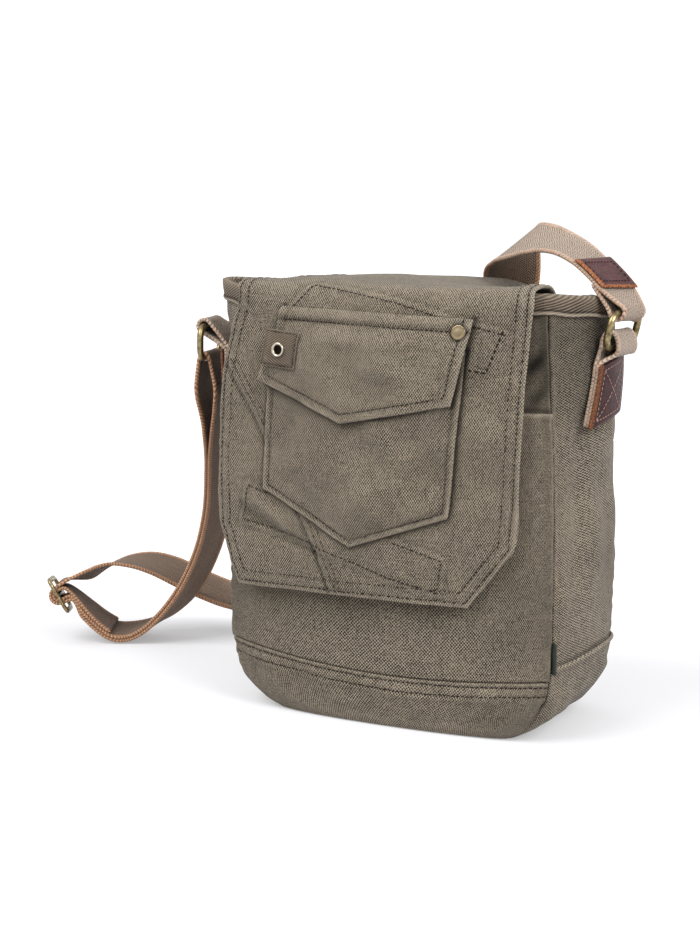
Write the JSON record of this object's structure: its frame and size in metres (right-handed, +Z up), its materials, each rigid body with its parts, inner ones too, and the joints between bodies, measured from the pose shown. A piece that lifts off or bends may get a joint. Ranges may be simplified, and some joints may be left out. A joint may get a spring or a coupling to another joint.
{
  "type": "canvas shoulder bag",
  "caption": "Upright washed-canvas shoulder bag with a long hanging flap, pouched flap pocket, bound mouth and an adjustable webbing strap on metal rings.",
  "frame": {"origin": "on the floor at the middle of the flat bottom panel", "axes": "+X to the viewer's right, the front with the flap faces -Y, +Z up"},
  "size_m": [0.4816, 0.2254, 0.3164],
  "materials": {
    "canvas": "washed olive canvas, matt",
    "tape": "herringbone tape, matt",
    "webbing": "ribbed cotton webbing, matt",
    "leather": "plum-brown, satin, raw tan edges",
    "brass": "antique, satin",
    "label": "plain woven ribbon"
  },
  "bodies": {
    "root": {"front_panel": "canvas", "back_panel": "canvas", "gusset_right": "canvas", "gusset_left": "canvas", "base_front": "canvas", "base_back": "canvas", "base_right": "canvas", "base_left": "canvas", "bottom_panel": "canvas", "slip_pocket": "canvas", "mouth_binding": "tape", "flap": "canvas", "flap_pocket": "canvas", "pocket_flap": "canvas", "eyelet_tab": "tape", "eyelet": "brass", "rivet": "brass", "side_label": "label", "ring_right": "brass", "ring_left": "brass", "tab_right": "webbing", "tab_left": "webbing", "tab_patch_right": "leather", "tab_patch_left": "leather", "strap_patch": "leather", "slider": "brass", "shoulder_strap": "webbing"}
  },
  "joints": []
}
